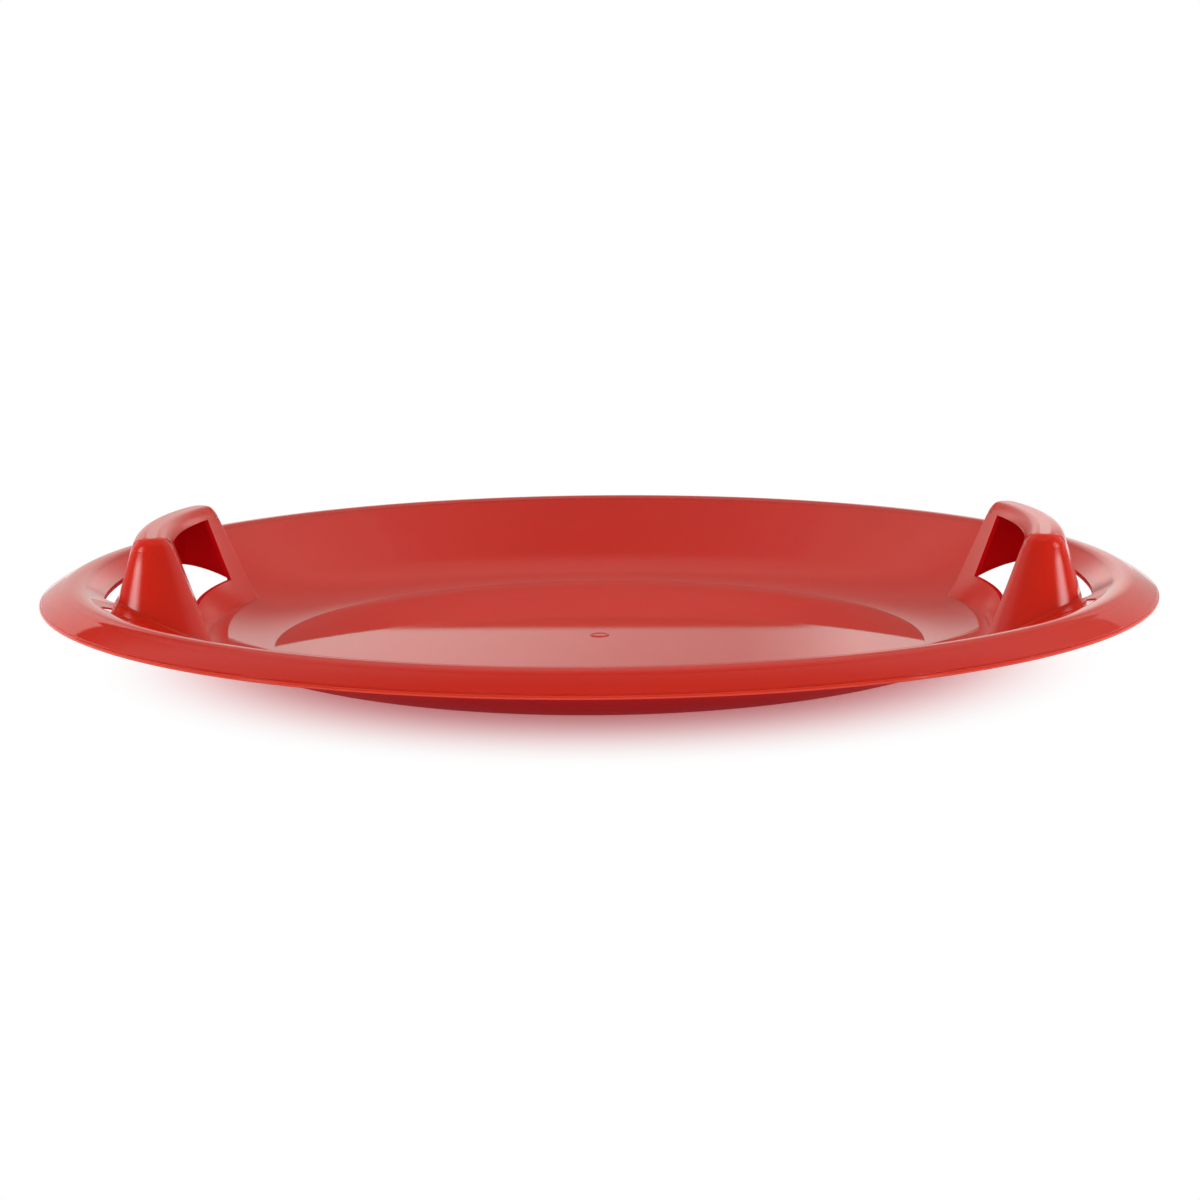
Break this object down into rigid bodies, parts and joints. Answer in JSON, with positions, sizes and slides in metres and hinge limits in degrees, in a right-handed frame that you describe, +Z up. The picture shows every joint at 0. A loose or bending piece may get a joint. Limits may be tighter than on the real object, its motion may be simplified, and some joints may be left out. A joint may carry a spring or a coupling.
{
  "type": "saucer sled",
  "caption": "Round saucer sled of glossy red plastic: flat floor, sloping side wall, rolled rim with a beaded lip, and two arched hand grips rising from the wall.",
  "frame": {"origin": "middle of the underside of the floor", "axes": "+Z up; the handles stand at +X and -X; the tow hole is near the front, at -Y and +X"},
  "size_m": [0.66, 0.66, 0.0754],
  "materials": {
    "red_plastic": "glossy injection-moulded plastic"
  },
  "bodies": {
    "root": {"floor_pan": "red_plastic", "gate_mark": "red_plastic", "front_wall": "red_plastic", "rear_wall": "red_plastic", "rolled_rim": "red_plastic", "rim_bead": "red_plastic", "left_wall_toe": "red_plastic", "left_wall_shoulder": "red_plastic", "left_sill": "red_plastic", "left_front_post": "red_plastic", "left_rear_post": "red_plastic", "left_grip": "red_plastic", "right_wall_toe": "red_plastic", "right_wall_shoulder": "red_plastic", "right_sill": "red_plastic", "right_front_post": "red_plastic", "right_rear_post": "red_plastic", "right_grip": "red_plastic"}
  },
  "joints": []
}
